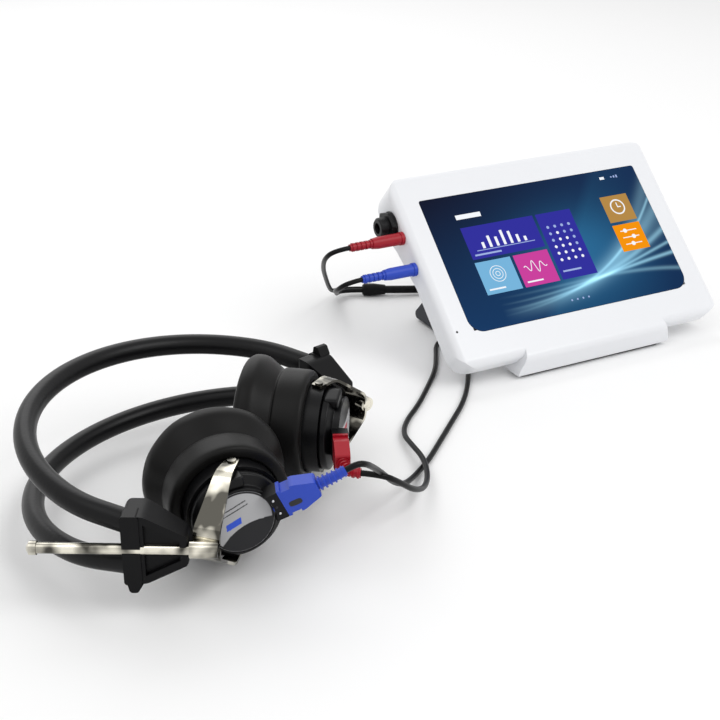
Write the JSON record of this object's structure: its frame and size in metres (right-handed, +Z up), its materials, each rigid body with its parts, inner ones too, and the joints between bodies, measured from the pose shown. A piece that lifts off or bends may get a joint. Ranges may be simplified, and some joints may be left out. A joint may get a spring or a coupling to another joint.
{
  "type": "audiometer",
  "caption": "Table-top touch-screen audiometer leaning on a fold-out rear stand, with a twin-band headset whose round ear cushions sit on forks, joined by cords.",
  "frame": {"origin": "on the table, at the middle of the rubber strip under the screen's foot bar", "axes": "+X to the right of the screen as the user sees it, +Y away from the user, +Z up from the table"},
  "size_m": [0.4503, 0.3441, 0.0977],
  "materials": {
    "white_shell": "smooth white moulding",
    "screen_glass": "dark cover glass",
    "display": "lit display behind the glass",
    "board": "printed board",
    "battery": "wrapped cells",
    "steel": "plain steel",
    "black_metal": "black finish",
    "jack_body": "moulded body",
    "key": "grey key cap",
    "stand_grey": "dark grey moulding",
    "grip_rubber": "rubber",
    "red_plug": "red moulding",
    "blue_plug": "blue moulding",
    "cord": "black cable sheath",
    "band_sleeve": "black sleeve over a spring wire",
    "spring_wire": "spring wire",
    "holder_black": "black moulding",
    "bright_metal": "nickel plated",
    "capsule_black": "satin black moulding",
    "label_foil": "silver and black foil",
    "driver_unit": "receiver capsule",
    "cushion_rubber": "soft black ear cushion"
  },
  "bodies": {
    "audiometer": {"front_housing": "white_shell", "rear_housing": "white_shell", "touch_glass": "screen_glass", "display_module": "display", "main_board": "board", "battery_pack": "battery", "housing_screws": "steel", "patient_jack": "black_metal", "patient_jack_nut": "black_metal", "right_phone_jack": "jack_body", "left_phone_jack": "jack_body", "power_switch": "jack_body", "charge_port": "steel", "stand_pin": "steel", "foot_bar": "white_shell", "foot_strip": "grip_rubber", "red_jack_plug": "red_plug", "red_jack_pin": "steel", "red_jack_boot": "red_plug", "blue_jack_plug": "blue_plug", "blue_jack_pin": "steel", "blue_jack_boot": "blue_plug", "red_tail": "cord", "blue_tail": "cord", "tail_yoke": "cord", "trunk_cord": "cord", "cord_coil": "cord", "lead_trunk": "cord", "lead_splitter": "cord", "red_lead": "cord", "blue_lead": "cord", "upper_band": "band_sleeve", "upper_band_spring": "spring_wire", "lower_band": "band_sleeve", "lower_band_spring": "spring_wire", "left_holder": "holder_black", "right_holder": "holder_black"},
    "power_key": {"power_key": "key"},
    "stand": {"rear_stand": "stand_grey", "stand_pads": "grip_rubber"},
    "left_slider": {"left_rod": "bright_metal"},
    "left_yoke": {"left_fork": "bright_metal", "left_pivot_pins": "bright_metal"},
    "left_earphone": {"left_cushion": "cushion_rubber", "left_case": "capsule_black", "left_back_cap": "capsule_black", "left_label_plate": "label_foil", "left_driver": "driver_unit", "left_earphone_plug": "blue_plug", "left_earphone_boot": "blue_plug"},
    "right_slider": {"right_rod": "bright_metal"},
    "right_yoke": {"right_fork": "bright_metal", "right_pivot_pins": "bright_metal"},
    "right_earphone": {"right_cushion": "cushion_rubber", "right_case": "capsule_black", "right_back_cap": "capsule_black", "right_label_plate": "label_foil", "right_driver": "driver_unit", "right_earphone_plug": "red_plug", "right_earphone_boot": "red_plug"}
  },
  "joints": [
    {"name": "power_press", "type": "slide", "parent": "audiometer", "child": "power_key", "axis": [-1, 0, 0], "range_m": [0, 0.0008], "stiffness_N_per_m": 1500},
    {"name": "stand_fold", "type": "hinge", "parent": "audiometer", "child": "stand", "pos_m": [0, 0.05522, 0.04636], "axis": [1, 0, 0], "range_deg": [-60, 0], "deforming": ["red_lead", "blue_lead"]},
    {"name": "left_slide", "type": "slide", "parent": "audiometer", "child": "left_slider", "axis": [0.8746, -0.4848, 0], "range_m": [0, 0.022], "deforming": ["blue_lead"]},
    {"name": "left_swivel", "type": "hinge", "parent": "left_slider", "child": "left_yoke", "pos_m": [-0.29344, -0.13339, 0.0325], "axis": [0.8746, -0.4848, 0], "range_deg": [-12, 12], "deforming": ["blue_lead"]},
    {"name": "left_tilt", "type": "hinge", "parent": "left_yoke", "child": "left_earphone", "pos_m": [-0.27002, -0.10887, 0.0325], "axis": [0, 0, 1], "range_deg": [-45, 17], "deforming": ["blue_lead"]},
    {"name": "right_slide", "type": "slide", "parent": "audiometer", "child": "right_slider", "axis": [0.225, -0.9744, 0], "range_m": [0, 0.006], "deforming": ["red_lead"]},
    {"name": "right_swivel", "type": "hinge", "parent": "right_slider", "child": "right_yoke", "pos_m": [-0.17469, -0.04391, 0.0325], "axis": [0.225, -0.9744, 0], "range_deg": [-12, 12], "deforming": ["red_lead"]},
    {"name": "right_tilt", "type": "hinge", "parent": "right_yoke", "child": "right_earphone", "pos_m": [-0.20471, -0.05967, 0.0325], "axis": [0, 0, 1], "range_deg": [-15, 5], "deforming": ["red_lead"]}
  ]
}
